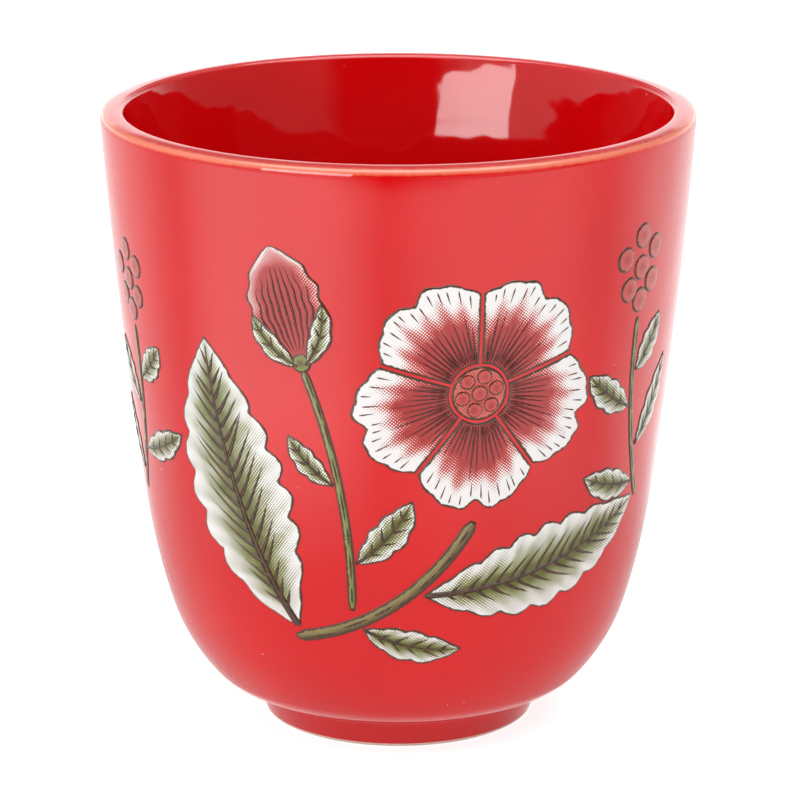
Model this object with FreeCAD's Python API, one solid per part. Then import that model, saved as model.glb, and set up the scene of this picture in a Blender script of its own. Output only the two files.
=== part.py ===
import FreeCAD, Part

import math
import os

# A handleless glazed cup: one turned body on a low foot ring, and a spray of enamel transfers,
# a blossom, a bud, leaves and stems, each fired onto the outside as a thin raised film of its own.
# The cup stands on Z = 0 with its axis on Z, and its front faces -Y. Lengths are millimetres and
# angles are degrees. A slope or a motif's angle is measured from the horizontal, and an azimuth
# round the axis from the front towards +X.

# Outside of the body, from the foot up
cup_height = 90.0
mouth_radius = 42.5
foot_radius = 19.6
foot_angle = 74.0
neck_bevel = 0.7
belly_foot_radius = 22.9
belly_foot_height = 4.9
belly_foot_angle = 12.0
belly_radius = 9.0
belly_angle = 48.7
hip_radius = 26.9
hip_angle = 73.1
flank_radius = 103.0
flank_angle = 82.4

# Lip
lip_thickness = 3.2
lip_bevel_width = 0.8
lip_bevel_height = 1.3
lip_taper_height = 18.0
lip_taper_angle = 79.0

# Inside of the body: its floor, its rounded corner and the wall at the top of the flank
floor_height = 7.1
bowl_radius = 18.0
bowl_facets = 5
wall_thickness = 5.0

# Standing ring and the recess inside it
ring_width = 3.1
foot_bevel = 0.4
recess_depth = 2.6
recess_angle = 80.0

# Where a long arc is parted, as shares of its turn
whole_shares = (1,)
hip_shares = (0.42, 1)
flank_shares = (0.5, 1)
wall_shares = (0.58, 1)

# Films: their thickness, the way they stand off the glaze, how far the straight runs of their back
# may stray from the wall's curve, and the bare glaze between two of them
film_thickness = 0.12
film_seat = 0.12
film_stray = 0.09
film_gap = 0.4

# Blossom
blossom_azimuth = 16.0
blossom_height = 58.0
blossom_radius = 17.5
blossom_heart_radius = 3.9
petal_count = 5
first_petal_angle = 270.0
petal_shoulder_share = 0.8

# Main stem, from its root up to the blossom, in the view from the azimuth of its middle
main_stem_azimuth = -4.5
main_stem_root_azimuth = -24.5
main_stem_root_height = 20.9
main_stem_width = 1.9
main_stem_bend_angle = 50.0

# Bud, and the stem that joins it to the main stem
bud_azimuth = -22.0
bud_rise = 12.5
bud_length = 16.5
bud_width = 11.0
bud_angle = 104.0
bud_stem_azimuth = -16.0
bud_stem_width = 1.3
bud_stem_bend_angle = 24.0
bud_stem_share = 0.3

# Leaves, each with its root at a share of the main stem's length
left_leaf_azimuth = -38.0
left_leaf_length = 43.0
left_leaf_width = 17.0
left_leaf_angle = 105.0
left_leaf_bend_angle = -24.0
left_leaf_share = 0.03
right_leaf_azimuth = 26.0
right_leaf_length = 36.0
right_leaf_width = 12.5
right_leaf_angle = 15.0
right_leaf_bend_angle = 26.0
right_leaf_share = 0.6

axis_foot = FreeCAD.Vector()
axis_up = FreeCAD.Vector(0, 0, 1)
front = FreeCAD.Vector(0, -1, 0)


def point(across, height):
    return FreeCAD.Vector(across, 0, height)


def along(slope):
    """Unit vector that climbs at this slope in the XZ plane."""
    angle = math.radians(slope)
    return FreeCAD.Vector(math.cos(angle), 0, math.sin(angle))


def left_of(slope):
    ahead = along(slope)
    return FreeCAD.Vector(-ahead.z, 0, ahead.x)


def slope_of(way):
    return math.degrees(math.atan2(way.z, way.x))


def crossing(first, first_slope, second, second_slope):
    """Where the line through one point at its slope meets the line through another."""
    step = second - first
    sine = math.sin(math.radians(second_slope - first_slope))
    reach = (step.x * along(second_slope).z - step.z * along(second_slope).x) / sine
    return first + along(first_slope) * reach


class Line:
    """A line in the XZ plane, drawn step by step as straight runs and tangent arcs."""

    def __init__(self, start, slope=0):
        self.start = start
        self.end = start
        self.slope = slope
        self.edges = []

    def run_to(self, end):
        self.edges.append(Part.makeLine(self.end, end))
        self.end = end

    def turn(self, radius, slope, shares=whole_shares):
        """An arc that turns left to this slope, parted at these shares of its turn."""
        centre = self.end + left_of(self.slope) * radius
        first_slope = self.slope
        for share in shares:
            next_slope = first_slope + (slope - first_slope) * share
            middle = centre - left_of((self.slope + next_slope) / 2) * radius
            end = centre - left_of(next_slope) * radius
            self.edges.append(Part.Arc(self.end, middle, end).toShape())
            self.end = end
            self.slope = next_slope

    def turn_in_facets(self, radius, slope, facets):
        """The same arc drawn as equal chords."""
        centre = self.end + left_of(self.slope) * radius
        step = (slope - self.slope) / facets
        for facet in range(facets):
            self.slope += step
            self.run_to(centre - left_of(self.slope) * radius)

    def turn_to(self, end, shares=whole_shares):
        """The tangent arc that ends at this point."""
        chord = end - self.end
        half_turn = slope_of(chord) - self.slope
        radius = chord.Length / (2 * math.sin(math.radians(half_turn)))
        self.turn(radius, self.slope + 2 * half_turn, shares)


def turned(edges):
    """The solid that a closed outline sweeps round the axis."""
    outline = Part.Wire(Part.__sortEdges__(edges))
    return Part.Face(outline).revolve(axis_foot, axis_up, 360)


def foot_line():
    """The outer face of the foot, up to where the belly starts."""
    foot = point(foot_radius, 0)
    belly_foot = point(belly_foot_radius, belly_foot_height)
    neck = crossing(foot, foot_angle, belly_foot, belly_foot_angle)
    line = Line(foot + along(foot_angle) * foot_bevel)
    line.run_to(neck - along(foot_angle) * neck_bevel)
    line.run_to(neck + along(belly_foot_angle) * neck_bevel)
    line.run_to(belly_foot)
    return line


def belly_line():
    line = Line(point(belly_foot_radius, belly_foot_height), belly_foot_angle)
    line.turn(belly_radius, belly_angle)
    line.turn(hip_radius, hip_angle, hip_shares)
    return line


def flank_line():
    line = Line(belly_line().end, hip_angle)
    line.turn(flank_radius, flank_angle, flank_shares)
    return line


def wall_line():
    """The flank and the long wall above it, up to the lip: the part that the films lie on."""
    line = flank_line()
    line.turn_to(point(mouth_radius, cup_height - lip_bevel_height), wall_shares)
    return line


def lip_line():
    line = Line(point(mouth_radius, cup_height - lip_bevel_height))
    line.run_to(point(mouth_radius - lip_bevel_width, cup_height))
    line.run_to(point(mouth_radius - lip_thickness, cup_height))
    return line


def inside_line():
    """The floor, the rounded corner, the wall and the taper that thins it towards the lip."""
    lip = lip_line().end
    taper_foot = lip - along(lip_taper_angle) * (lip_taper_height / along(lip_taper_angle).z)
    wall_foot = flank_line().end + left_of(flank_angle) * wall_thickness
    wall_slope = slope_of(taper_foot - wall_foot)
    corner = Line(point(0, floor_height))
    corner.turn(bowl_radius, wall_slope)
    floor_radius = crossing(taper_foot, wall_slope, corner.end, 0).x - corner.end.x
    line = Line(point(0, floor_height))
    line.run_to(point(floor_radius, floor_height))
    line.turn_in_facets(bowl_radius, wall_slope, bowl_facets)
    line.run_to(taper_foot)
    line.run_to(lip)
    return line


def underside_line():
    """The standing ring and the recess, from the foot's outer face in to the axis."""
    ring_inner = point(foot_radius - ring_width, 0)
    up = 180 - recess_angle
    line = Line(foot_line().start)
    line.run_to(point(foot_radius - foot_bevel, 0))
    line.run_to(ring_inner)
    line.run_to(crossing(ring_inner, up, point(0, recess_depth), 0))
    line.run_to(point(0, recess_depth))
    line.run_to(point(0, floor_height))
    return line


def cup_body():
    lines = foot_line(), belly_line(), wall_line(), lip_line(), inside_line(), underside_line()
    return turned([edge for line in lines for edge in line.edges])


def film_shell():
    """A thin shell round the wall, in straight runs that stay just clear of its curve."""
    spots = Part.Wire(wall_line().edges).discretize(QuasiDeflection=film_stray)
    back = Line(spots[0] + point(film_seat, 0))
    face = Line(back.start + point(film_thickness, 0))
    for spot in spots[1:]:
        back.run_to(spot + point(film_seat, 0))
        face.run_to(back.end + point(film_thickness, 0))
    ends = [Part.makeLine(back.start, face.start), Part.makeLine(back.end, face.end)]
    return turned(back.edges + face.edges + ends)


def film(outline, azimuth):
    """What a flat outline, seen square from the front, covers of the shell, turned to its place."""
    cutter = Part.Face(Part.Wire(outline)).extrude(front * mouth_radius * 2)
    piece = film_shell().common(cutter)
    piece.rotate(axis_foot, axis_up, azimuth)
    return piece.Solids[0]


def bowed(start, end, bend):
    """An arc from start to end that turns by this bend, bulging to the right of its way."""
    chord = end - start
    rightward = FreeCAD.Vector(chord.z, 0, -chord.x)
    middle = (start + end) / 2 + rightward * (math.tan(math.radians(bend / 4)) / 2)
    return Part.Arc(start, middle, end).toShape()


def wall_radius(height):
    level = Part.makeLine(point(0, height), point(mouth_radius * 2, height))
    return Part.Wire(wall_line().edges).distToShape(level)[1][0][0].x


def seen_from(azimuth, place, place_azimuth):
    """Where a place on the wall, given in the view from one azimuth, lies in another view."""
    radius = wall_radius(place.z)
    turn = math.asin(place.x / radius) + math.radians(place_azimuth - azimuth)
    return point(radius * math.sin(turn), place.z)


def leaf(azimuth, root, length, width, slope, bend=0):
    """A pointed leaf between two arcs, bowed to the right by its bend."""
    tip = root + along(slope) * length
    side = 4 * math.degrees(math.atan(width / length))
    return film([bowed(root, tip, side + bend), bowed(tip, root, side - bend)], azimuth)


def stem(azimuth, root, tip, width, bend):
    """A band of even width along an arc, cut square at both ends."""
    slope = slope_of(tip - root)
    root_side = left_of(slope - bend / 2) * (width / 2)
    tip_side = left_of(slope + bend / 2) * (width / 2)
    outline = [
        bowed(root - root_side, tip - tip_side, bend),
        Part.makeLine(tip - tip_side, tip + tip_side),
        bowed(tip + tip_side, root + root_side, -bend),
        Part.makeLine(root + root_side, root - root_side),
    ]
    return film(outline, azimuth)


def petal(slope):
    """One petal of the blossom: straight sides out from the heart, and a round end."""
    centre = point(0, blossom_height)
    half_angle = 180 / petal_count
    reach = film_gap / 2 / math.sin(math.radians(half_angle))
    apex = centre + along(slope) * reach
    left, right = along(slope + half_angle), along(slope - half_angle)
    root = (blossom_heart_radius + film_gap - reach) / math.cos(math.radians(half_angle))
    shoulder = blossom_radius * petal_shoulder_share
    outline = [
        Part.makeLine(apex + left * root, apex + left * shoulder),
        Part.Arc(
            apex + left * shoulder,
            centre + along(slope) * blossom_radius,
            apex + right * shoulder,
        ).toShape(),
        Part.makeLine(apex + right * shoulder, apex + right * root),
        Part.makeLine(apex + right * root, apex + left * root),
    ]
    return film(outline, blossom_azimuth)


def blossom_heart():
    circle = Part.makeCircle(blossom_heart_radius, point(0, blossom_height), front)
    return film([circle], blossom_azimuth)


def main_stem_ends():
    """The root, and the tip that stops just short of the petal above it."""
    root = point(0, main_stem_root_height)
    drop = blossom_radius + film_gap + main_stem_width / 2
    tip = point(0, blossom_height - drop)
    return (
        seen_from(main_stem_azimuth, root, main_stem_root_azimuth),
        seen_from(main_stem_azimuth, tip, blossom_azimuth),
    )


def beside_main_stem(share, clearance):
    """A place beside the main stem, on its left, or on its right with a clearance below zero."""
    root, tip = main_stem_ends()
    start = slope_of(tip - root) - main_stem_bend_angle / 2
    radius = (tip - root).Length / (2 * math.sin(math.radians(main_stem_bend_angle / 2)))
    line = Line(root, start)
    line.turn(radius, start + main_stem_bend_angle * share)
    return line.end + left_of(line.slope) * clearance


def bud_root():
    """The bud's root in its own view: its middle stands straight over its azimuth."""
    return point(0, blossom_height + bud_rise) - along(bud_angle) * (bud_length / 2)


def bud_stem():
    """The stem from the main stem up to the bud, with bare glaze at both ends."""
    clearance = main_stem_width / 2 + film_gap + bud_stem_width / 2
    foot = beside_main_stem(bud_stem_share, clearance)
    root = seen_from(bud_stem_azimuth, foot, main_stem_azimuth)
    top = seen_from(bud_stem_azimuth, bud_root(), bud_azimuth)
    tip = top - along(slope_of(top - root)) * (film_gap + bud_stem_width / 2)
    return stem(bud_stem_azimuth, root, tip, bud_stem_width, bud_stem_bend_angle)


def leaf_root(azimuth, share, side):
    """A leaf's root, just clear of the main stem on its left, side 1, or its right, side -1."""
    clearance = side * (main_stem_width / 2 + film_gap)
    return seen_from(azimuth, beside_main_stem(share, clearance), main_stem_azimuth)


def all_pieces():
    pieces = {"cup_body": cup_body(), "blossom_heart": blossom_heart()}
    for number in range(petal_count):
        pieces[f"blossom_petal_{number + 1}"] = petal(first_petal_angle + 360 / petal_count * number)
    pieces["bud"] = leaf(bud_azimuth, bud_root(), bud_length, bud_width, bud_angle)
    pieces["bud_stem"] = bud_stem()
    pieces["main_stem"] = stem(
        main_stem_azimuth, *main_stem_ends(), main_stem_width, main_stem_bend_angle,
    )
    pieces["left_leaf"] = leaf(
        left_leaf_azimuth, leaf_root(left_leaf_azimuth, left_leaf_share, 1),
        left_leaf_length, left_leaf_width, left_leaf_angle, left_leaf_bend_angle,
    )
    pieces["right_leaf"] = leaf(
        right_leaf_azimuth, leaf_root(right_leaf_azimuth, right_leaf_share, -1),
        right_leaf_length, right_leaf_width, right_leaf_angle, right_leaf_bend_angle,
    )
    return pieces


os.makedirs("parts", exist_ok=True)
for name, shape in all_pieces().items():
    shape.exportStep(f"parts/{name}.step")
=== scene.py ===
import math
import random

import bmesh
import bpy
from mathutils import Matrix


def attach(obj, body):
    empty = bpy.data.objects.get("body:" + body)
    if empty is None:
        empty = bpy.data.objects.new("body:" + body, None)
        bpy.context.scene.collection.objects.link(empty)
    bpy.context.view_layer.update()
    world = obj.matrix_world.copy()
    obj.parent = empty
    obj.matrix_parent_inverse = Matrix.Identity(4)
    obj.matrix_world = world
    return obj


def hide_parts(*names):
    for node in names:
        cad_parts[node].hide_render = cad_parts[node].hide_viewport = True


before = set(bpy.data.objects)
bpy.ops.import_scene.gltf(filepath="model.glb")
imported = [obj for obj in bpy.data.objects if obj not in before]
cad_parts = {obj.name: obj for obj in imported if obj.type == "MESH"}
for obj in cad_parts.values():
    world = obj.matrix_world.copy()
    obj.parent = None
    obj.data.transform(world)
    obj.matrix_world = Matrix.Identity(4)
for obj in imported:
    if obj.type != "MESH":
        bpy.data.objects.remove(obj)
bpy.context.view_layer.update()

# A handleless cup in bright red glaze over cream clay, with a spray of enamel transfers on it.
# Sizes are millimetres until a mesh is made. Angles are degrees: a slope is measured from the
# horizontal, an azimuth round the axis from the front towards +X.
mm = 0.001
chance = random.Random(7)

# Outside of the cup, from the foot up: each arc has its radius and the slope that it ends at
foot_start = (19.401, 0.213)
foot_start_slope = -16
foot_edge_radius, foot_slope = 0.25, 74
foot_wall_length = 2.99
neck_radius, underside_slope = 2.1, 11.94
underside_length = 0.83
belly_radius, belly_slope = 9.04, 48.67
hip_radius, hip_slope = 26.9, 73.14
flank_radius, flank_slope = 103.3, 82.36
wall_top = (42.482, 88.33)

# Lip and inside, on from there
lip_shoulder_radius, lip_shoulder_slope = 3.0, 104
lip_edge_radius, lip_edge_slope = 0.65, 166
lip_land_radius, lip_land_slope = 8.1, 180
lip_inner_radius = 0.9
taper_slope = 79
taper_foot_height = 74.2
taper_blend_radius = 60
inner_slope = 84
bowl_radius = 18
floor_height = 7.1

# Foot ring and the recess inside it
ring_outer = 19.48
ring_inner = 16.7
ring_inner_edge = 0.3
recess_depth = 2.6
recess_corner_radius = 1.2
recess_wall_slope = -80
recess_floor_radius = ring_inner - 1.75
recess_wall_length = recess_depth - 1.3
glaze_thickness = 0.2
coat_gap = 0.01
lathe_segments = 320

# Enamel films. A film has a share of its thickness at its margin, and all of it this far in.
film_thickness = 0.12
film_gap = 0.4
film_edge_share = 0.2
film_edge_width = 0.3
disc_edge_width = 0.2
least_half_width = 0.02
blossom_azimuth = 16
blossom_height = 58
blossom_radius = 17.5
heart_radius = 3.9
petal_count = 5


# Line drawing in the half plane of radius and height

def heading(slope):
    """The cosine and sine of an angle in degrees."""
    angle = math.radians(slope)
    return math.cos(angle), math.sin(angle)


class Outline:
    """A line of straight runs and tangent arcs, kept as spots of radius, height and slope."""

    def __init__(self, start, slope):
        self.spots = [(*start, slope)]

    def straight(self, length, step=5.0):
        """Goes straight on for this length."""
        radius, height, slope = self.spots[-1]
        cosine, sine = heading(slope)
        count = math.ceil(length / step)
        for number in range(1, count + 1):
            gone = length * number / count
            self.spots.append((radius + cosine * gone, height + sine * gone, slope))

    def turn(self, bend_radius, slope, step=2.2, angle_step=5):
        """An arc to this slope: a left turn where the slope grows, a right turn where it falls."""
        radius, height, first = self.spots[-1]
        reach = math.copysign(bend_radius, slope - first)
        cosine, sine = heading(first)
        centre = radius - sine * reach, height + cosine * reach
        sweep = abs(slope - first)
        length = math.radians(sweep) * bend_radius
        count = max(math.ceil(sweep / angle_step), math.ceil(length / step))
        for number in range(1, count + 1):
            now = first + (slope - first) * number / count
            cosine, sine = heading(now)
            self.spots.append((centre[0] + sine * reach, centre[1] - cosine * reach, now))

    def turn_to(self, end):
        """The one tangent arc that ends at this spot."""
        radius, height, slope = self.spots[-1]
        across, up = end[0] - radius, end[1] - height
        half_turn = math.degrees(math.atan2(up, across)) - slope
        bend_radius = math.hypot(across, up) / 2 / math.sin(math.radians(half_turn))
        self.turn(bend_radius, slope + 2 * half_turn)


def inward(spots, depth):
    """The same line, moved to its left by this depth."""
    moved = []
    for radius, height, slope in spots:
        cosine, sine = heading(slope)
        moved.append((radius - sine * depth, height + cosine * depth, slope))
    return moved


def outside_line():
    """The glazed outside, from the foot's edge to the start of the lip."""
    line = Outline(foot_start, foot_start_slope)
    line.turn(foot_edge_radius, foot_slope, angle_step=15)
    line.straight(foot_wall_length)
    line.turn(neck_radius, underside_slope)
    line.straight(underside_length)
    line.turn(belly_radius, belly_slope)
    line.turn(hip_radius, hip_slope)
    line.turn(flank_radius, flank_slope)
    line.turn_to(wall_top)
    return line


def glaze_line():
    """The glazed surface, from the foot up over the lip and down to the middle of the floor."""
    line = outside_line()
    line.turn(lip_shoulder_radius, lip_shoulder_slope, step=0.2)
    line.turn(lip_edge_radius, lip_edge_slope, angle_step=4)
    line.turn(lip_land_radius, lip_land_slope, step=0.3)
    line.turn(lip_inner_radius, 180 + taper_slope)
    height = line.spots[-1][1]
    line.straight((height - taper_foot_height) / math.sin(math.radians(taper_slope)))
    line.turn(taper_blend_radius, 180 + inner_slope)
    bowl_top = floor_height + bowl_radius * (1 - math.cos(math.radians(inner_slope)))
    height = line.spots[-1][1]
    line.straight((height - bowl_top) / math.sin(math.radians(inner_slope)))
    line.turn(bowl_radius, 180)
    line.straight(line.spots[-1][0])
    return line


def recess_line():
    """The glazed surface inside the standing ring, from the axis down to the bare clay."""
    line = Outline((0, recess_depth), 0)
    line.straight(recess_floor_radius)
    line.turn(recess_corner_radius, recess_wall_slope)
    line.straight(recess_wall_length)
    return line


# Meshes

def lathe(name, spots, values=None):
    """The surface that a line sweeps round the axis. Both ends of the line lie on the axis.
    The values, one for each spot, are kept as the attribute "thin"."""
    mesh = bpy.data.meshes.new(name)
    rings = [(radius, height) for radius, height, slope in spots[1:-1]]
    verts = [(0, 0, spots[0][1] * mm)]
    for radius, height in rings:
        for number in range(lathe_segments):
            cosine, sine = heading(360 * number / lathe_segments)
            verts.append((radius * mm * sine, -radius * mm * cosine, height * mm))
    verts.append((0, 0, spots[-1][1] * mm))
    mesh.from_pydata(verts, [], lathe_faces(len(rings)))
    made = finish_mesh(name, mesh)
    if values:
        spread = [values[0]]
        for value in values[1:-1]:
            spread += [value] * lathe_segments
        note(mesh, "thin", spread + [values[-1]])
    return made


def lathe_faces(ring_count):
    """A fan at each end, and four-sided faces between the rings."""
    faces = []
    last_ring = 1 + lathe_segments * (ring_count - 1)
    last = 1 + lathe_segments * ring_count
    for number in range(lathe_segments):
        after = (number + 1) % lathe_segments
        faces.append((0, 1 + after, 1 + number))
        faces.append((last, last_ring + number, last_ring + after))
        for ring in range(ring_count - 1):
            low, high = 1 + lathe_segments * ring, 1 + lathe_segments * (ring + 1)
            faces.append((low + number, low + after, high + after, high + number))
    return faces


def note(mesh, name, values):
    """Keeps one number for each vertex, which the materials read by this name."""
    layer = mesh.attributes.new(name, "FLOAT", "POINT")
    layer.data.foreach_set("value", values)


def finish_mesh(name, mesh):
    """Turns the faces outwards, smooths them and puts the object into the scene."""
    work = bmesh.new()
    work.from_mesh(mesh)
    bmesh.ops.recalc_face_normals(work, faces=work.faces)
    work.to_mesh(mesh)
    work.free()
    mesh.polygons.foreach_set("use_smooth", [True] * len(mesh.polygons))
    made = bpy.data.objects.new(name, mesh)
    bpy.context.scene.collection.objects.link(made)
    return made


def evenly(first, last, count):
    """This many numbers, evenly spaced from the first to the last."""
    return [first + (last - first) * number / (count - 1) for number in range(count)]


# Laying drawings onto the wall

wall_foot_height = 5
wall_spots = [spot for spot in outside_line().spots if spot[1] > wall_foot_height]


def wall_radius(height):
    """The wall's radius at this height."""
    for low, high in zip(wall_spots, wall_spots[1:]):
        if height <= high[1]:
            share = (height - low[1]) / (high[1] - low[1])
            return low[0] + (high[0] - low[0]) * share
    return wall_spots[-1][0]


def on_wall(spot, azimuth, lift):
    """A spot of a drawing, seen square from this azimuth, laid onto the wall and lifted off it."""
    across, height = spot
    radius = wall_radius(height) + lift
    back = -math.sqrt(radius ** 2 - across ** 2)
    cosine, sine = heading(azimuth)
    return (
        (across * cosine - back * sine) * mm,
        (across * sine + back * cosine) * mm,
        height * mm,
    )


class Print:
    """The vertices of a film, with what its material reads: the flat drawing's spot, the distance
    to the margin, and how much colour the print carries there."""

    def __init__(self, azimuth):
        self.azimuth = azimuth
        self.verts, self.spots, self.rims, self.tones = [], [], [], []

    def add(self, spot, lift, rim, tone):
        """One more vertex, laid onto the wall."""
        self.verts.append(on_wall(spot, self.azimuth, lift))
        self.spots.append(spot)
        self.rims.append(rim)
        self.tones.append(tone)

    def finish(self, name, faces):
        """Makes the film's object."""
        mesh = bpy.data.meshes.new(name)
        mesh.from_pydata(self.verts, [], faces)
        layer = mesh.uv_layers.new(name="print")
        for loop in mesh.loops:
            layer.data[loop.index].uv = self.spots[loop.vertex_index]
        note(mesh, "rim", self.rims)
        note(mesh, "tone", self.tones)
        return finish_mesh(name, mesh)


def film(name, azimuth, motif, rows, columns, base=0.0):
    """A closed thin film over a grid of shares of the motif's length and half width. base is how
    far it lies off the wall, where it overlaps another film."""
    sheet = Print(azimuth)
    for top in (True, False):
        for row in rows:
            for column in columns:
                margin = max(0, motif.rim(row, column))
                rounding = math.sqrt(min(1, margin / film_edge_width))
                rise = film_edge_share + (1 - film_edge_share) * rounding
                lift = base + (film_thickness * rise if top else 0)
                sheet.add(motif.place(row, column), lift, margin, motif.tone(row, column))
    return sheet.finish(name, film_faces(len(rows), len(columns)))


def film_faces(deep, wide):
    """The top and underside of a grid, and the strip that joins them round the border."""
    count = deep * wide
    faces = []
    for row in range(deep - 1):
        for column in range(wide - 1):
            first = row * wide + column
            face = (first, first + 1, first + wide + 1, first + wide)
            faces.append(face)
            faces.append([corner + count for corner in reversed(face)])
    border = list(range(wide)) + [row * wide + wide - 1 for row in range(1, deep)]
    border += [count - 1 - number for number in range(1, wide)]
    border += [row * wide for row in range(deep - 2, 0, -1)]
    for first, second in zip(border, border[1:] + border[:1]):
        faces.append((second, first, first + count, second + count))
    return faces


# Shares of a motif's half width, closer together towards its margins
film_columns = [-1, -0.985, -0.95, -0.88, -0.78] + evenly(-0.66, 0.66, 13)
film_columns += [0.78, 0.88, 0.95, 0.985, 1]


class Axis:
    """The midline of a motif: an arc from its root to its tip, with places to either side of it."""

    def __init__(self, root, length, slope, bend=0):
        self.root = root
        self.length = length
        self.slope = slope
        self.bend = bend

    def at(self, along, aside=0):
        """The spot at a share of the length, and this far to the left."""
        half_bend = math.radians(self.bend / 2)
        if self.bend == 0:
            forward, left, turned = along * self.length, 0, 0
        else:
            radius = self.length / 2 / math.sin(half_bend)
            turned = half_bend * (2 * along - 1)
            forward = radius * (math.sin(turned) + math.sin(half_bend))
            left = radius * (math.cos(half_bend) - math.cos(turned))
        forward, left = forward - aside * math.sin(turned), left + aside * math.cos(turned)
        cosine, sine = heading(self.slope)
        return (
            self.root[0] + cosine * forward - sine * left,
            self.root[1] + sine * forward + cosine * left,
        )


def lens(along, length, width):
    """Half the width of a shape between two arcs, at this share of its length."""
    radius = (length ** 2 / 4 + width ** 2 / 4) / width
    off = (along - 0.5) * length
    return max(least_half_width, math.sqrt(radius ** 2 - off ** 2) - radius + width / 2)


# A stroke's cross section: shares of its half width, and heights over what it is drawn on
stroke_section = ((1, 0.01), (0, 0.045), (-1, 0.01), (0, -0.02))
stroke_end_share = 0.06


def strokes(name, azimuth, lines, lift=film_thickness):
    """Tapered pen strokes, each a thin closed sliver. A line is its spots, its widest width, and
    its taper."""
    mesh = bpy.data.meshes.new(name)
    verts, faces = [], []
    corners = len(stroke_section)
    for spots, width, taper in lines:
        base = len(verts)
        last = len(spots) - 1
        for number, spot in enumerate(spots):
            before, after = spots[max(0, number - 1)], spots[min(last, number + 1)]
            across, up = after[0] - before[0], after[1] - before[1]
            size = math.hypot(across, up) or 1
            half = width / 2 * max(stroke_end_share, taper(number / last))
            aside = -up / size * half, across / size * half
            for side, high in stroke_section:
                place = spot[0] + aside[0] * side, spot[1] + aside[1] * side
                verts.append(on_wall(place, azimuth, lift + high))
        for number in range(last):
            low, high = base + number * corners, base + (number + 1) * corners
            for corner in range(corners):
                after = (corner + 1) % corners
                faces.append((low + corner, low + after, high + after, high + corner))
        faces.append([base + corner for corner in range(corners)])
        faces.append([base + last * corners + corner for corner in reversed(range(corners))])
    mesh.from_pydata(verts, [], faces)
    return finish_mesh(name, mesh)


def fading(share):
    """A stroke that starts full and runs out to a point."""
    return (1 - share) ** 0.6 * min(1, 0.35 + share * 5)


def swelling(share):
    """A stroke that is pointed at both ends."""
    return math.sin(math.pi * share) ** 0.7


def midrib(share):
    """A stroke that thins evenly to a fifth of its width."""
    return 1 - 0.8 * share


# Materials

glass_ior = 1.5
screen_pitch, screen_angle = 0.34, 38


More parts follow.
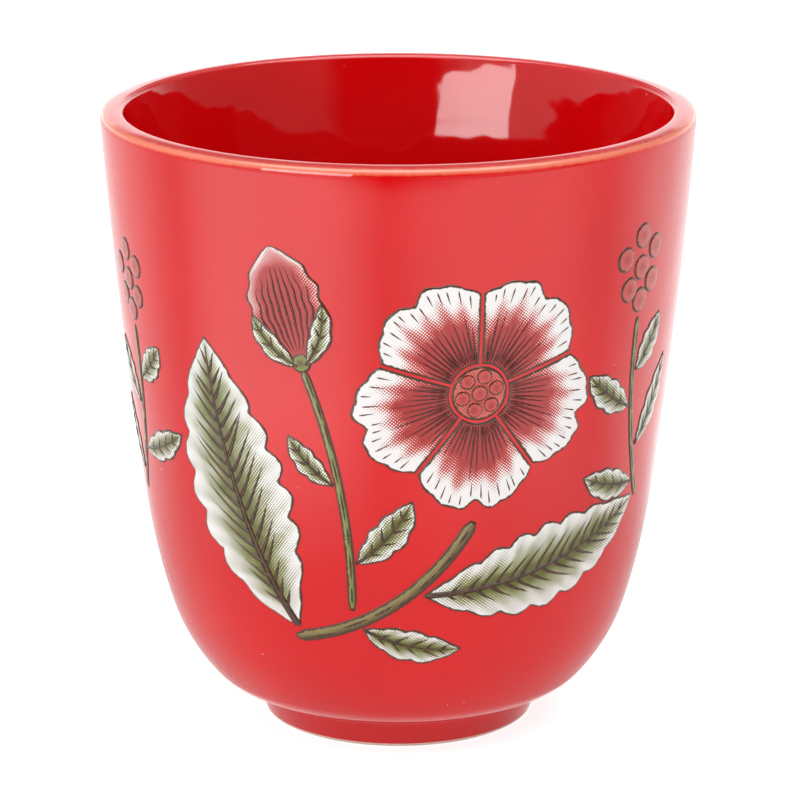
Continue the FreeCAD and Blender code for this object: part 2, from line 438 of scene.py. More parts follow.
class Nodes:
    """A short way to lay out the nodes of a material or of the world."""

    def __init__(self, name, world=False):
        kind = bpy.data.worlds if world else bpy.data.materials
        self.owner = kind.new(name)
        self.owner.use_nodes = True
        self.tree = self.owner.node_tree
        self.tree.nodes.clear()
        self.output = self.add("OutputWorld" if world else "OutputMaterial")

    def add(self, kind, **values):
        node = self.tree.nodes.new("ShaderNode" + kind)
        for name, value in values.items():
            setattr(node, name, value)
        return node

    def feed(self, source, node, socket):
        """Gives a socket a number, a colour, a vector or another node's output."""
        if isinstance(source, (int, float)):
            node.inputs[socket].default_value = source
        elif isinstance(source, tuple):
            wide = len(node.inputs[socket].default_value)
            node.inputs[socket].default_value = source + (1,) * (wide - len(source))
        else:
            self.tree.links.new(source, node.inputs[socket])

    def math(self, operation, first, second=0.0):
        node = self.add("Math", operation=operation)
        self.feed(first, node, 0)
        self.feed(second, node, 1)
        return node.outputs[0]

    def sum(self, first, second):
        return self.math("ADD", first, second)

    def product(self, first, second):
        return self.math("MULTIPLY", first, second)

    def rest_of(self, share):
        """What is left of 1."""
        return self.math("SUBTRACT", 1.0, share)

    def centred_noise(self, scale, detail, strength):
        """Noise about 0, this strong."""
        return self.product(self.math("SUBTRACT", self.noise(scale, detail), 0.5), strength)

    def ramp(self, value, low, high):
        """0 below low, 1 above high, smooth between."""
        node = self.add("MapRange", interpolation_type="SMOOTHSTEP")
        for socket, source in ((0, value), (1, low), (2, high)):
            self.feed(source, node, socket)
        return node.outputs[0]

    def between(self, share, first, second):
        """The first number where the share is 0 and the second where it is 1."""
        return self.sum(first, self.product(share, self.math("SUBTRACT", second, first)))

    def vector(self, operation, source, second=None, output=0):
        node = self.add("VectorMath", operation=operation)
        self.feed(source, node, 0)
        if second:
            self.feed(second, node, 1)
        return node.outputs[output]

    def facing(self, source, direction, low, high):
        """How far a unit vector points this way, 0 at one cosine and 1 at the other."""
        return self.ramp(self.vector("DOT_PRODUCT", source, direction, "Value"), low, high)

    def mix(self, share, first, second):
        """The first colour where the share is 0 and the second where it is 1."""
        node = self.add("Mix", data_type="RGBA")
        for socket, source in ((0, share), (6, first), (7, second)):
            self.feed(source, node, socket)
        return node.outputs[2]

    def place(self):
        """Where a spot lies in the object's own space."""
        return self.add("TexCoord").outputs["Object"]

    def parts(self, source):
        """The three coordinates of a vector."""
        node = self.add("SeparateXYZ")
        self.feed(source, node, 0)
        return node.outputs

    def noise(self, scale, detail=2.0):
        """Noise in the object's own space, with this many waves to the metre."""
        node = self.add("TexNoise")
        self.feed(self.place(), node, "Vector")
        self.feed(scale, node, "Scale")
        self.feed(detail, node, "Detail")
        return node.outputs[0]

    def specks(self, scale, size):
        """1 inside small round specks that lie scattered, 0 elsewhere."""
        node = self.add("TexVoronoi", feature="F1")
        self.feed(self.place(), node, "Vector")
        self.feed(scale, node, "Scale")
        return self.rest_of(self.ramp(node.outputs["Distance"], size * 0.6, size))

    def attribute(self, name):
        return self.add("Attribute", attribute_name=name).outputs["Fac"]

    def bump(self, height, strength, distance):
        node = self.add("Bump")
        self.feed(strength, node, "Strength")
        self.feed(distance, node, "Distance")
        self.feed(height, node, "Height")
        return node.outputs[0]

    def shader(self, color, roughness, normal):
        """Ends the material with one plain glossy or matt surface."""
        node = self.add("BsdfPrincipled")
        self.feed(color, node, "Base Color")
        self.feed(roughness, node, "Roughness")
        self.feed(glass_ior, node, "IOR")
        self.feed(normal, node, "Normal")
        self.feed(node.outputs[0], self.output, 0)
        return self.owner


deep_red, bright_red = (0.66, 0.001, 0.0035), (0.72, 0.0018, 0.0035)
thin_orange, speck_pink = (0.90, 0.215, 0.125), (0.95, 0.6, 0.55)
clay_shade, clay_light, clay_stain = (0.84, 0.72, 0.60), (0.95, 0.87, 0.78), (0.72, 0.42, 0.30)
dark_line, white_enamel = (0.075, 0.033, 0.016), (0.88, 0.86, 0.84)
olive, deep_olive = (0.195, 0.21, 0.035), (0.115, 0.115, 0.02)
rose, deep_rose, pale_rose = (0.52, 0.042, 0.035), (0.40, 0.022, 0.02), (0.66, 0.17, 0.13)
stem_green, stem_brown = (0.29, 0.29, 0.08), (0.10, 0.065, 0.02)
bark_light, bark, bark_deep = (0.30, 0.25, 0.09), (0.12, 0.08, 0.03), (0.075, 0.042, 0.018)
brown_ink, deep_brown_ink = (0.12, 0.055, 0.025), (0.05, 0.024, 0.012)
red_ink, deep_red_ink = (0.19, 0.022, 0.015), (0.075, 0.016, 0.010)


def glaze_color(nodes):
    """Red, a little cloudy, orange where the glaze is thin, with a few pale specks in patches."""
    red = nodes.mix(nodes.ramp(nodes.noise(38, 3), 0.3, 0.7), deep_red, bright_red)
    ragged = nodes.sum(nodes.attribute("thin"), nodes.centred_noise(900, 2, 0.3))
    tint = nodes.mix(nodes.ramp(ragged, 0.35, 0.9), red, thin_orange)
    specks = nodes.product(nodes.specks(260, 0.05), nodes.ramp(nodes.noise(60), 0.5, 0.62))
    return nodes.mix(nodes.product(specks, 0.6), tint, speck_pink)


def glaze_material():
    """Bright red glaze. It lies unevenly, more so inside, where "thin" is -1, and has tiny pits."""
    nodes = Nodes("red_glaze")
    inside = nodes.rest_of(nodes.ramp(nodes.attribute("thin"), -1.0, -0.1))
    waves = nodes.product(inside, nodes.product(nodes.noise(100, 1.5), 0.8))
    ripple = nodes.sum(nodes.noise(42, 2), waves)
    height = nodes.math("SUBTRACT", ripple, nodes.product(nodes.specks(330, 0.04), 0.03))
    return nodes.shader(glaze_color(nodes), 0.05, nodes.bump(height, 0.34, 0.001))


def clay_material():
    """Bare cream clay: fine grain and a few rusty stains."""
    nodes = Nodes("bare_clay")
    grain = nodes.noise(2600, 4)
    stain = nodes.product(nodes.ramp(nodes.noise(160, 3), 0.45, 0.7), 0.4)
    color = nodes.mix(stain, nodes.mix(grain, clay_shade, clay_light), clay_stain)
    return nodes.shader(color, 0.85, nodes.bump(grain, 0.5, 0.0001))


def dot_screen(nodes):
    """A halftone screen of round dots, 0 between them and 1 in their middles."""
    turn = nodes.add("Mapping")
    turn.inputs["Rotation"].default_value = (0, 0, math.radians(screen_angle))
    turn.inputs["Scale"].default_value = (2 * math.pi / screen_pitch,) * 3
    nodes.feed(nodes.add("UVMap", uv_map="print").outputs[0], turn, "Vector")
    across, up, out = nodes.parts(turn.outputs[0])
    both = nodes.sum(nodes.math("COSINE", across), nodes.math("COSINE", up))
    return nodes.sum(nodes.product(both, 0.25), 0.5)


def print_material(name, ground, ink, deep):
    """Enamel print: a ground, halftone ink that grows denser with the tone, and a dark outline."""
    nodes = Nodes(name)
    level = nodes.sum(nodes.attribute("tone"), nodes.centred_noise(420, 3, 0.55))
    dots = nodes.ramp(nodes.sum(dot_screen(nodes), level), 0.92, 1.12)
    color = nodes.mix(dots, ground, nodes.mix(nodes.ramp(level, 0.75, 1.15), ink, deep))
    ragged = nodes.sum(nodes.attribute("rim"), nodes.centred_noise(1300, 2, 0.5))
    color = nodes.mix(nodes.rest_of(nodes.ramp(ragged, 0.24, 0.40)), color, dark_line)
    return nodes.shader(color, 0.13, nodes.bump(nodes.noise(700, 2), 0.12, 0.0002))


def ink_material(name, light, dark):
    """Drawn ink, uneven in its depth."""
    nodes = Nodes(name)
    color = nodes.mix(nodes.ramp(nodes.noise(1500, 3), 0.35, 0.7), dark, light)
    return nodes.shader(color, 0.2, nodes.bump(nodes.noise(1200, 2), 0.15, 0.0001))


materials = {
    "glaze": glaze_material(),
    "clay": clay_material(),
    "leaf": print_material("leaf_print", white_enamel, olive, deep_olive),
    "petal": print_material("petal_print", white_enamel, rose, deep_rose),
    "berry": print_material("berry_print", pale_rose, rose, deep_rose),
    "stem": print_material("stem_print", stem_green, olive, stem_brown),
    "branch": print_material("branch_print", bark_light, bark, bark_deep),
    "ink": ink_material("outline_ink", brown_ink, deep_brown_ink),
    "rose_ink": ink_material("petal_ink", red_ink, deep_red_ink),
}


def dress(piece, material, node=None):
    """Gives a piece its material, and its place in the assembly."""
    piece.data.materials.clear()
    piece.data.materials.append(materials[material])
    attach(piece, "root")
    if node:
        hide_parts(node)
    return piece


# The cup

def thinness(height, slope, outside):
    """How thin the glaze runs: 1 over the lip's edge and at the foot's edge, 0 on the wall. The
    inside is marked with -1."""
    lip_slope, lip_spread = 134, 42
    foot_height, foot_spread, foot_top = 0.2, 0.12, 3
    inside_slope, land_end_slope = 210, 182
    if slope > inside_slope:
        return -1
    if outside:
        return math.exp(-((height - foot_height) / foot_spread) ** 2) if height < foot_top else 0
    return 1 - min(1, abs(slope - lip_slope) / lip_spread) ** 4 if slope < land_end_slope else 0


def make_body():
    """The glaze, the clay under it, and the glazed recess under the foot."""
    line = glaze_line().spots
    outside_count = len(outside_line().spots)
    thin = [thinness(height, slope, number < outside_count)
            for number, (radius, height, slope) in enumerate(line)]
    back = closed_on_axis(inward(line, glaze_thickness), floor_height - glaze_thickness)
    coat = closed_on_axis(line, floor_height)[::-1] + back
    dress(lathe("cup_glaze", coat, thin[::-1] + thin), "glaze", "cup_body")

    dress(lathe("cup_clay", clay_line(line)), "clay", node="cup_body")

    recess = recess_line().spots
    under = inward(recess, glaze_thickness)
    under[0] = (0, recess_depth + glaze_thickness, 0)
    even = [0.0] * (2 * len(recess))
    patch = lathe("foot_recess_glaze", recess + under[::-1], even)
    dress(patch, "glaze", "cup_body")


def closed_on_axis(spots, height):
    """The line with its last spot on the axis at this height."""
    return spots[:-1] + [(0, height, 180)]


def clay_line(line):
    """The clay, from the recess round the bare standing ring and up under the glaze."""
    recess = recess_line().spots
    hollow = inward(recess, glaze_thickness + coat_gap)
    hollow[0] = (0, recess_depth + glaze_thickness, 0)
    inner_corner_height = 0.35
    hollow = hollow[:-1] + [(ring_inner, inner_corner_height, 0)]
    outer_edge = ((-0.12, 0), (0.1, 0.15), (0.24, 0.36), (0.26, 0.5))
    ring = [(ring_inner + ring_inner_edge, 0, 0)]
    ring += [(ring_outer + out, up, 0) for out, up in outer_edge]
    core = closed_on_axis(inward(line, glaze_thickness + coat_gap), floor_height - glaze_thickness)
    return hollow + ring + core


# Motifs of the print. Each has place, rim and tone for a share of its length and of its half width.

class Leaf:
    """A leaf with a lobed white margin, green towards its midrib."""

    lobe_depth = 0.18
    fingers_per_lobe, finger_slant = 1.6, 1.5
    least_reach, finger_reach = 0.60, 0.20

    def __init__(self, axis, width, lobes):
        self.axis = axis
        self.width = width
        self.lobes = lobes
        self.phase = chance.uniform(0, 1)

    def half(self, along, side):
        """Half the width on this side, with its lobes, which die out towards both ends."""
        lobe = abs(math.sin(math.pi * (along * self.lobes + self.phase + 0.25 * side)))
        fall = math.sin(math.pi * along) ** 0.5
        wave = self.lobe_depth * (lobe - 0.75) * fall
        return lens(along, self.axis.length, self.width) * (1 + wave)

    def half_at(self, row, column):
        return self.half(row, 1 if column > 0 else -1)

    def place(self, row, column):
        return self.axis.at(row, self.half_at(row, column) * column)

    def rim(self, row, column):
        return (1 - abs(column)) * self.half_at(row, column)

    def tone(self, row, column):
        """Full at the midrib, and fading in slanted fingers towards the margin and both ends."""
        aside = abs(column)
        wave = row * self.lobes * self.fingers_per_lobe - aside * self.finger_slant
        finger = 0.5 + 0.5 * math.cos(2 * math.pi * wave)
        reach = self.least_reach + self.finger_reach * finger
        middle = 1.25 - 0.85 * aside / reach
        ends = min(1, row * 7, (1 - row) * 4 + 0.35)
        return max(-0.2, min(1.2, middle)) * ends


def vein_lines(shape):
    """Strokes that leave the midrib on both sides and curve towards the tip."""
    length, width = shape.axis.length, shape.width
    spacing = 2.2
    count = int(length / spacing)
    lines = []
    for number in range(1, count):
        along = 0.04 + 0.9 * number / count
        for side in (-1, 1):
            start = along + chance.uniform(-0.006, 0.006) + 0.012 * side
            room = shape.half(min(0.97, start), side)
            reach = room * chance.uniform(0.50, 0.68)
            climb = reach * chance.uniform(1.05, 1.3) / length
            if start + climb < 0.985:
                reach = min(reach, 0.72 * shape.half(min(0.99, start + climb), side))
                spots = []
                for step in evenly(0, 1, 8):
                    aside = side * (0.05 + reach * step ** 1.1)
                    spots.append(shape.axis.at(min(0.99, start + climb * step ** 1.35), aside))
                lines.append((spots, chance.uniform(0.34, 0.46) + 0.017 * width, fading))
    return lines


def leaf(name, node, azimuth, root, length, width, slope, bend=0, lobes=8, base=0.0):
    """A leaf film with its midrib and veins."""
    shape = Leaf(Axis(root, length, slope, bend), width, lobes)
    rows = [0.002] + evenly(0.012, 0.988, 16 + int(length * 1.9)) + [0.998]
    sheet = film(name, azimuth, shape, rows, film_columns, base)
    dress(sheet, "leaf", node)
    middle = [shape.axis.at(step) for step in evenly(0.01, 0.97, 40)]
    lines = [(middle, width * 0.06 + 0.2, midrib)] + vein_lines(shape)
    veins = strokes(name + "_veins", azimuth, lines, film_thickness + base)
    dress(veins, "ink")


class Petal:
    """A sector of the blossom with a notched, lobed end. Its sides leave half of the film gap."""

    half_angle = 180 / petal_count
    apex_reach = film_gap / 2 / math.sin(math.radians(half_angle))
    inner = heart_radius + film_gap - apex_reach
    shoulder_share = 0.8
    notch_depth, notch_width = 0.09, 0.13
    lobe_depth, lobe_count = 0.022, 3.0

    def __init__(self, number):
        self.slope = 270 + 360 / petal_count * number
        cosine, sine = heading(self.slope)
        self.apex = cosine * self.apex_reach, blossom_height + sine * self.apex_reach
        self.phase = chance.uniform(-0.3, 0.3)
        cosine, sine = heading(self.half_angle)
        shoulder = self.shoulder_share * blossom_radius
        tip = blossom_radius - self.apex_reach
        half_chord, rise = shoulder * sine, tip - shoulder * cosine
        self.end_radius = (half_chord ** 2 + rise ** 2) / 2 / rise
        self.end_centre = tip - self.end_radius

    def outer(self, column):
        """How far out the petal's end lies: an arc, with a notch in the middle and small lobes."""
        angle = math.radians(self.half_angle * column)
        off = self.end_centre * math.sin(angle)
        far = self.end_centre * math.cos(angle) + math.sqrt(self.end_radius ** 2 - off ** 2)
        off_notch = (column - 0.06 * self.phase) / self.notch_width
        notch = self.notch_depth * math.exp(-off_notch ** 2)
        wave = abs(math.sin(math.pi * (column * self.lobe_count + self.phase)))
        return far * (1 - notch + self.lobe_depth * (wave - 1))

    def distance(self, row, column):
        return self.inner + (self.outer(column) - self.inner) * row

    def place(self, row, column):
        way = self.distance(row, column)
        cosine, sine = heading(self.slope + self.half_angle * column)
        return self.apex[0] + cosine * way, self.apex[1] + sine * way

    def rim(self, row, column):
        way = self.distance(row, column)
        side = way * math.sin(math.radians(self.half_angle * (1 - abs(column))))
        return min(side, (self.outer(column) - way) * 0.95, way - self.inner)

    def tone(self, row, column):
        """Red from the heart outwards, ending in fingers before the white margin."""
        finger = 0.5 + 0.5 * math.cos(math.pi * column * 6)
        return 1.35 - (row / (0.68 + 0.13 * finger)) ** 3 - 0.35 * abs(column) ** 3


def petal_lines(shape):
    """Long strokes out from the heart, and short ones in from the margin."""
    lines = []
    for column in evenly(-0.84, 0.84, 13):
        column += chance.uniform(-0.02, 0.02)
        last = chance.uniform(0.42, 0.72) * (1 - 0.15 * abs(column))
        spots = [shape.place(row, column * (1 - 0.08 * row)) for row in evenly(0.03, last, 9)]
        lines.append((spots, chance.uniform(0.34, 0.5), fading))
    for column in evenly(-0.8, 0.8, 12):
        column += chance.uniform(-0.03, 0.03)
        first = chance.uniform(0.9, 0.95)
        last = first - chance.uniform(0.10, 0.2)
        lines.append(([shape.place(row, column) for row in evenly(first, last, 6)], 0.26, fading))
    return lines


def petal(name, node, number):
    """A petal film with its strokes."""
    shape = Petal(number)
    rows = [0, 0.012, 0.03] + evenly(0.06, 0.94, 30) + [0.97, 0.988, 1]
    columns = [-1, -0.985, -0.96, -0.92] + evenly(-0.86, 0.86, 31) + [0.92, 0.96, 0.985, 1]
    dress(film(name, blossom_azimuth, shape, rows, columns), "petal", node)
    lines = strokes(name + "_lines", blossom_azimuth, petal_lines(shape))
    dress(lines, "rose_ink")


disc_shares = (0.25, 0.5, 0.7, 0.85, 0.94, 1)
disc_segments = 36


def disc(name, azimuth, centre, radius, material, slot, node=None, dome=0.0):
    """A round spot of enamel, flat or a low dome."""
    sheet = Print(azimuth)
    sheet.add(centre, film_thickness + dome, radius, 1.1)
    sheet.add(centre, 0, radius, 1.1)
    rings = []
    for share in disc_shares:
        rise = min(1, (1 - share) * radius / disc_edge_width + film_edge_share)
        rings.append((share, film_thickness * rise + dome * (1 - share ** 2), 1.2 - 0.8 * share))
    rings.append((1, 0, 0))
    for share, height, tone in rings:
        for number in range(disc_segments):
            cosine, sine = heading(360 * number / disc_segments)
            spot = centre[0] + cosine * radius * share, centre[1] + sine * radius * share
            sheet.add(spot, height, (1 - share) * radius, tone)
    return dress(sheet.finish(name, disc_faces()), material, node)


def disc_faces():
    """A fan on top, rings down to the wall, and a fan underneath."""
    around = disc_segments
    last = 2 + around * len(disc_shares)
    faces = []
    for number in range(around):
        after = (number + 1) % around
        faces.append((0, 2 + number, 2 + after))
        for low in range(2, last, around):
            high = low + around
            faces.append((low + number, high + number, high + after, low + after))
        faces.append((1, last + after, last + number))
    return faces


def heart():
    """The blossom's heart: a round ground with one berry in the middle and six round it."""
    middle, dome, berry_count = (0, blossom_height), 0.16, 6
    berry = "berry", "berry_enamel"
    disc("heart_ground", blossom_azimuth, middle, heart_radius, *berry, "blossom_heart")
    disc("berry_middle", blossom_azimuth, middle, heart_radius * 0.33, *berry, dome=dome)
    for number in range(berry_count):
        cosine, sine = heading(360 / berry_count * number + 15)
        way = heart_radius * 0.63
        spot = cosine * way, blossom_height + sine * way
        disc(f"berry_{number + 1}", blossom_azimuth, spot, heart_radius * 0.31, *berry, dome=dome)


class Stem:
    """An even stem with narrowed ends, darker along its right side, seen from its root."""

    def __init__(self, axis, width):
        self.axis = axis
        self.width = width

    def half(self, along):
        return self.width / 2 * min(1, 0.45 + along * 14, 0.45 + (1 - along) * 14)

    def place(self, row, column):
        return self.axis.at(row, self.half(row) * column)

    def rim(self, row, column):
        length = self.axis.length
        return min((1 - abs(column)) * self.half(row), row * length, (1 - row) * length)

    def tone(self, row, column):
        return 0.55 - 0.75 * column


def stem_lines(shape):
    """Short strokes one after the other along a stem."""
    length = shape.axis.length
    width = 0.2 + shape.width * 0.07
    lines = []
    position = 0.03
    while position < 0.9:
        last = min(0.98, position + chance.uniform(2.5, 5) / length)
        side = chance.uniform(-0.45, 0.1)
        spots = [shape.axis.at(step, shape.half(step) * side) for step in evenly(position, last, 8)]
        lines.append((spots, width, swelling))
        position = last + chance.uniform(0.2, 1.2) / length
    return lines


def stem(name, node, azimuth, axis, width, material="stem"):
    """A stem film with its strokes."""
    shape = Stem(axis, width)
    columns = [-1, -0.92, -0.8, -0.5, -0.2, 0.2, 0.5, 0.8, 0.92, 1]
    sheet = film(name, azimuth, shape, evenly(0, 1, 70), columns)
    dress(sheet, material, node)
    dress(strokes(name + "_lines", azimuth, stem_lines(shape)), "ink")


class Bud:
    """Closed petals: a lens with a wavy edge, red with a white tip and margin."""

    def __init__(self, axis, width):
        self.axis = axis
        self.width = width

    def half(self, along):
        wave = 0.05 * math.cos(10 * math.pi * along)
        return lens(along, self.axis.length, self.width) * (1 + wave)

    def place(self, row, column):
        return self.axis.at(row, self.half(row) * column)

    def rim(self, row, column):
        return (1 - abs(column)) * self.half(row)

    def tone(self, row, column):
        return 1.35 - 0.9 * abs(column) ** 2.5 - max(0, row - 0.72) * 3.2


def bud_lines(shape):
    """Strokes from the root of the bud towards its tip."""
    lines = []
    for column in evenly(-0.7, 0.7, 9):
        last = 0.86 - 0.25 * abs(column) + chance.uniform(-0.06, 0.04)
        spots = [shape.axis.at(step, shape.half(step) * column) for step in evenly(0.08, last, 12)]
        lines.append((spots, chance.uniform(0.3, 0.42), swelling))
    return lines


def bud(name, node, azimuth, root, length, width, slope):
    """A closed bud between two green sepals, with a small calyx over its root."""
    axis = Axis(root, length, slope)
    shape = Bud(axis, width)
    rows = [0.003] + evenly(0.015, 0.985, 60) + [0.997]
    dress(film(name, azimuth, shape, rows, film_columns), "petal", node)
    dress(strokes(name + "_lines", azimuth, bud_lines(shape)), "rose_ink")
    for side, label in ((1, "left"), (-1, "right")):
        leaf(f"{name}_{label}_sepal", None, azimuth, axis.at(-0.045, 0.5 * side), length * 0.58,
             width * 0.3, slope + 30 * side, -48 * side, lobes=3, base=film_thickness)
    radius, dome = 1.45, 0.16
    disc(f"{name}_calyx", azimuth, axis.at(-0.02), radius, "stem", "stem_enamel", dome=dome)


# A sprig's leaves: share of the stem, turn off it, length. Its berries: across and up from the tip.
sprig_leaves = ((0.12, 52, 13), (0.3, -50, 15), (0.55, 46, 12), (0.72, -44, 10))
sprig_berries = (
    (0, 2.6), (-3.0, 4.6), (2.9, 5.2), (-0.3, 7.6), (-4.4, 9.4), (3.2, 10.2), (-0.6, 12.4),
)
sprig_stem_length, sprig_stem_width = 30, 1.2
sprig_leaf_width, sprig_berry_radius, sprig_berry_dome = 5.2, 1.95, 0.05


def sprig(name, azimuth, height, size, side):
    """A small spray of berries and leaves on a bent stem. side is 1 where it leans to the right."""
    slope, bend = 90 - 12 * side, 30 * side
    axis = Axis((-4 * size * side, height), sprig_stem_length * size, slope, bend)
    stem(f"{name}_stem", None, azimuth, axis, sprig_stem_width)
    for number, (along, turn, reach) in enumerate(sprig_leaves):
        foot = axis.at(along, math.copysign(0.75, turn))
        now = slope + bend * (along - 0.5)
        leaf(f"{name}_leaf_{number + 1}", None, azimuth, foot, reach * size,
             sprig_leaf_width * size, now + turn, -turn * 0.5, lobes=4)
    top = axis.at(1)
    for number, (across, up) in enumerate(sprig_berries):
        spot = top[0] + across * size, top[1] + up * size
        disc(f"{name}_berry_{number + 1}", azimuth, spot, sprig_berry_radius * size,
             "berry", "berry_enamel", dome=sprig_berry_dome)


def make_spray():
    """The spray on the front: blossom, bud, stems and leaves."""
    for number in range(petal_count):
        petal(f"petal_{number + 1}", f"blossom_petal_{number + 1}", number)
    heart()
    bud("bud_film", "bud", -22, (2.0, 62.5), 16.5, 11, 104)
    bud_stem = Axis((3.52, 25.76), 36.13, 98.87, 24)
    stem("bud_stem_film", "bud_stem", -16, bud_stem, 1.3)
    leaf("low_bud_leaflet", None, -16, bud_stem.at(0.2, -0.75), 12.5, 5, 50, 30, lobes=4)
    leaf("high_bud_leaflet", None, -16, bud_stem.at(0.52, 0.75), 9.5, 3.8, 132, -30, lobes=4)
    main_stem = Axis((-11.71, 20.9), 30.83, 36.29, 50)
    stem("main_stem_film", "main_stem", -4.5, main_stem, 1.9, "branch")
    leaf("stem_leaflet", None, -4.5, main_stem.at(0.3, -1.05), 14, 5.2, -14, 34, lobes=4)
    leaf("left_leaf_film", "left_leaf", -38, (8.88, 22.42), 43, 17, 105, -24)
    leaf("right_leaf_film", "right_leaf", 26, (-12.7, 28.25), 36, 12.5, 15, 26)


def make_sprigs():
    """The sprigs round the sides and back."""
    sprig("right_sprig", 58, 37, 0.95, -1)
    sprig("left_sprig", -70, 36, 0.88, 1)
    sprig("back_left_sprig", -122, 30, 1.1, -1)
    sprig("back_sprig", 180, 30, 1.2, 1)
    sprig("back_right_sprig", 118, 30, 1.1, -1)


# Floor, light and camera

# Painted light: soft bright streaks that glow on the floor for mirrored rays only, so the glaze
# shows them as painted reflections: azimuth and strength
painted_streaks = ((-47, 1.5), (38, 0.7), (128, 0.6), (-135, 0.3))
floor_half_width = 4.0
# White floor, and the painted dark that mirrored rays find far in front of it
floor_white, painted_reflection_dark = (0.92, 0.92, 0.92), (0.04, 0.04, 0.04)
floor_camera_glow = 0.7


def painted_streak(nodes, azimuth, strength):
    """A painted streak of light that runs out over the floor at this azimuth, as a low lamp leaves,
    though no lamp lights it.
    """
    place = nodes.place()
    cosine, sine = heading(azimuth)
    level = nodes.facing(nodes.vector("NORMALIZE", place), (sine, -cosine, 0), 0.72, 0.985)
    away = nodes.ramp(nodes.vector("LENGTH", place, output="Value"), 0.07, 0.15)
    return nodes.product(nodes.product(level, away), strength)


def floor_glow(nodes):
    """Painted glow that the floor gives off in mirrored rays only, though it is no lamp: the
    streaks, and a glow round the foot, both seen as painted reflections in the glaze.
    """
    glow = 0.0
    for azimuth, strength in painted_streaks:
        glow = nodes.sum(glow, painted_streak(nodes, azimuth, strength))
    away = nodes.vector("LENGTH", nodes.place(), output="Value")
    # Painted glow round the foot, which the glaze of the foot and belly mirrors as a painted
    # reflection
    for first, last, strength in ((0.03, 0.075, 0.1), (0.022, 0.028, 0.38)):
        near = nodes.rest_of(nodes.ramp(away, first, last))
        glow = nodes.sum(glow, nodes.product(near, strength))
    return glow


def floor_material():
    """White, and bright enough for the camera to come out white where no shadow falls. Mirrored
    rays find it painted dark far in front and painted glowing in its streaks and round the foot,
    which the glaze shows as painted reflections."""
    nodes = Nodes("white_floor")
    ray = nodes.add("LightPath")
    camera, mirrored = ray.outputs["Is Camera Ray"], ray.outputs["Is Glossy Ray"]
    # Painted dark reflection: far in front the floor turns dark for mirrored rays only, standing
    # for a dark room
    painted_dark_front = nodes.rest_of(nodes.ramp(nodes.parts(nodes.place())[1], -0.32, -0.25))
    color = nodes.mix(nodes.product(painted_dark_front, mirrored), floor_white, painted_reflection_dark)
    diffuse = nodes.add("BsdfDiffuse")
    nodes.feed(color, diffuse, "Color")
    glow = nodes.add("Emission")
    seen = nodes.product(camera, floor_camera_glow)
    # Mirrored rays also get the painted glow of the streaks and round the foot
    nodes.feed(nodes.sum(seen, nodes.product(mirrored, floor_glow(nodes))), glow, "Strength")
    both = nodes.add("AddShader")
    nodes.feed(diffuse.outputs[0], both, 0)
    nodes.feed(glow.outputs[0], both, 1)
    nodes.feed(both.outputs[0], nodes.output, 0)
    return nodes.owner


def make_floor():
    """A wide white floor that keeps the cup's shadow."""
    mesh = bpy.data.meshes.new("floor")
    wide = floor_half_width
    corners = [(-wide, -wide, 0), (wide, -wide, 0), (wide, wide, 0), (-wide, wide, 0)]
    mesh.from_pydata(corners, [], [(0, 1, 2, 3)])
    mesh.materials.append(floor_material())
    floor = bpy.data.objects.new("floor", mesh)
    bpy.context.scene.collection.objects.link(floor)


def studio_strength(nodes):
    """A white studio: dimmer to the right and high at the back, bright low at the back and
    overhead, and dark in front, behind the camera."""
    way = nodes.add("TexCoord").outputs["Generated"]
    height = nodes.parts(way)[2]
    strength = nodes.between(nodes.facing(way, (0.80, -0.58, 0.1), 0.15, 0.75), 0.9, 0.36)
    low = nodes.rest_of(nodes.ramp(height, 0.28, 0.42))
    low_back = nodes.product(nodes.facing(way, (0, 1, 0), 0.35, 0.85), low)
    strength = nodes.between(low_back, strength, 1.35)
    horizon = nodes.product(low_back, nodes.rest_of(nodes.ramp(height, 0.06, 0.16)))
    strength = nodes.between(horizon, strength, 2.6)
    panel = nodes.facing(way, (0.03, 0.95, 0.31), 0.90, 0.96)
    strength = nodes.between(panel, strength, 1.6)
    high = nodes.ramp(height, 0.24, 0.36)
    high_back = nodes.product(nodes.facing(way, (0, 0.9, 0.43), 0.55, 0.8), high)
    strength = nodes.between(high_back, strength, 0.4)
    strength = nodes.between(nodes.ramp(height, 0.55, 0.8), strength, 1.2)
    return nodes.between(nodes.facing(way, (0.05, -0.98, 0.17), 0.82, 0.94), strength, 0.02)


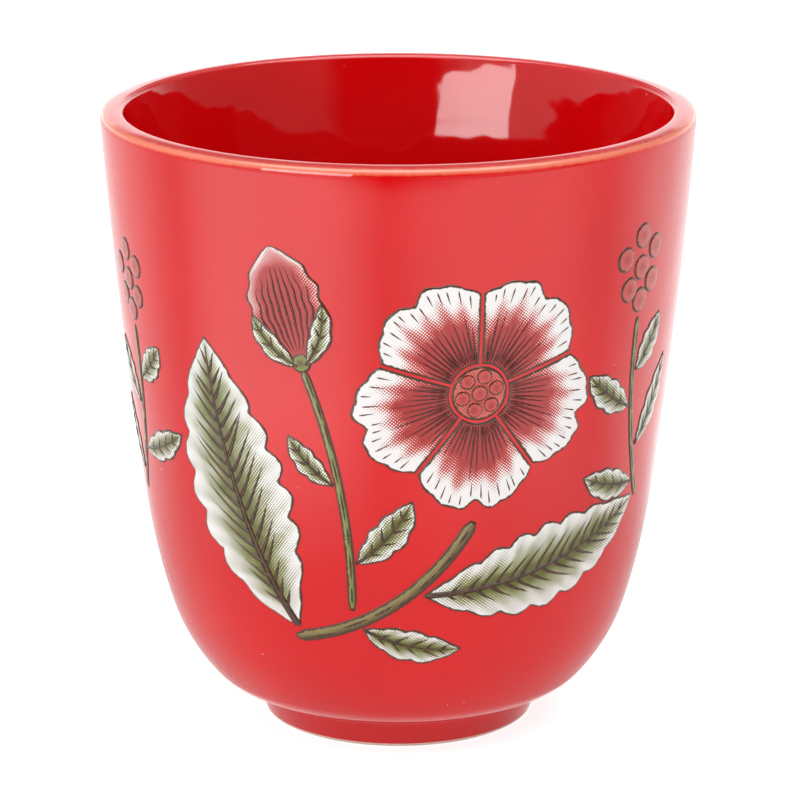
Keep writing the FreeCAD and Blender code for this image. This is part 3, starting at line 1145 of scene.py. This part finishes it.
def make_world():
    """The studio round the cup, plain white to the camera."""
    nodes = Nodes("studio", world=True)
    around, white = nodes.add("Background"), nodes.add("Background")
    for background in (around, white):
        background.inputs["Color"].default_value = (1, 1, 1, 1)
    nodes.feed(studio_strength(nodes), around, "Strength")
    seen = nodes.add("MixShader")
    nodes.feed(nodes.add("LightPath").outputs["Is Camera Ray"], seen, 0)
    nodes.feed(around.outputs[0], seen, 1)
    nodes.feed(white.outputs[0], seen, 2)
    nodes.feed(seen.outputs[0], nodes.output, 0)
    bpy.context.scene.world = nodes.owner


def softbox(name, azimuth, elevation, distance, width, height, radiance, mirrored):
    """A rectangular soft light that looks at the cup: one that the glaze mirrors, or one that only
    lights it evenly."""
    light = bpy.data.lights.new(name, "AREA")
    light.shape = "RECTANGLE"
    light.size, light.size_y = width, height
    light.energy = radiance * math.pi * width * height
    made = bpy.data.objects.new(name, light)
    cosine, sine = heading(azimuth)
    level, up = heading(elevation)
    away, aim_height = distance * level, 0.06
    made.location = (away * sine, -away * cosine, aim_height + distance * up)
    made.rotation_euler = (math.radians(90 - elevation), 0, math.radians(azimuth))
    made.visible_camera = False
    made.visible_diffuse = not mirrored
    made.visible_glossy = mirrored
    bpy.context.scene.collection.objects.link(made)


def make_lights():
    """A window and an overhead light for the highlights, and three even lights."""
    softbox("window_light", -34.5, 7.2, 1.2, 0.74, 0.24, 8.0, mirrored=True)
    softbox("top_light", 0, 84, 1.2, 1.6, 1.1, 4.8, mirrored=True)
    softbox("left_light", -55, 28, 1.1, 0.9, 0.7, 0.85, mirrored=False)
    softbox("right_light", 55, 28, 1.1, 0.9, 0.7, 0.8, mirrored=False)
    softbox("front_light", 0, 6, 1.1, 0.9, 0.3, 2.9, mirrored=False)


def make_camera():
    """The photograph's view, a little above the lip."""
    camera = bpy.data.cameras.new("camera")
    camera.sensor_width = 36
    camera.lens = 177.5
    camera.shift_x = 0.002
    camera.clip_start, camera.clip_end = 0.01, 50
    made = bpy.data.objects.new("camera", camera)
    made.location = (0, -0.5530, 0.2015)
    made.rotation_euler = (math.radians(74.326), 0, 0)
    bpy.context.scene.collection.objects.link(made)
    bpy.context.scene.camera = made


make_body()
make_spray()
make_sprigs()
make_floor()
make_world()
make_lights()
make_camera()
bpy.context.scene.view_settings.view_transform = "Standard"
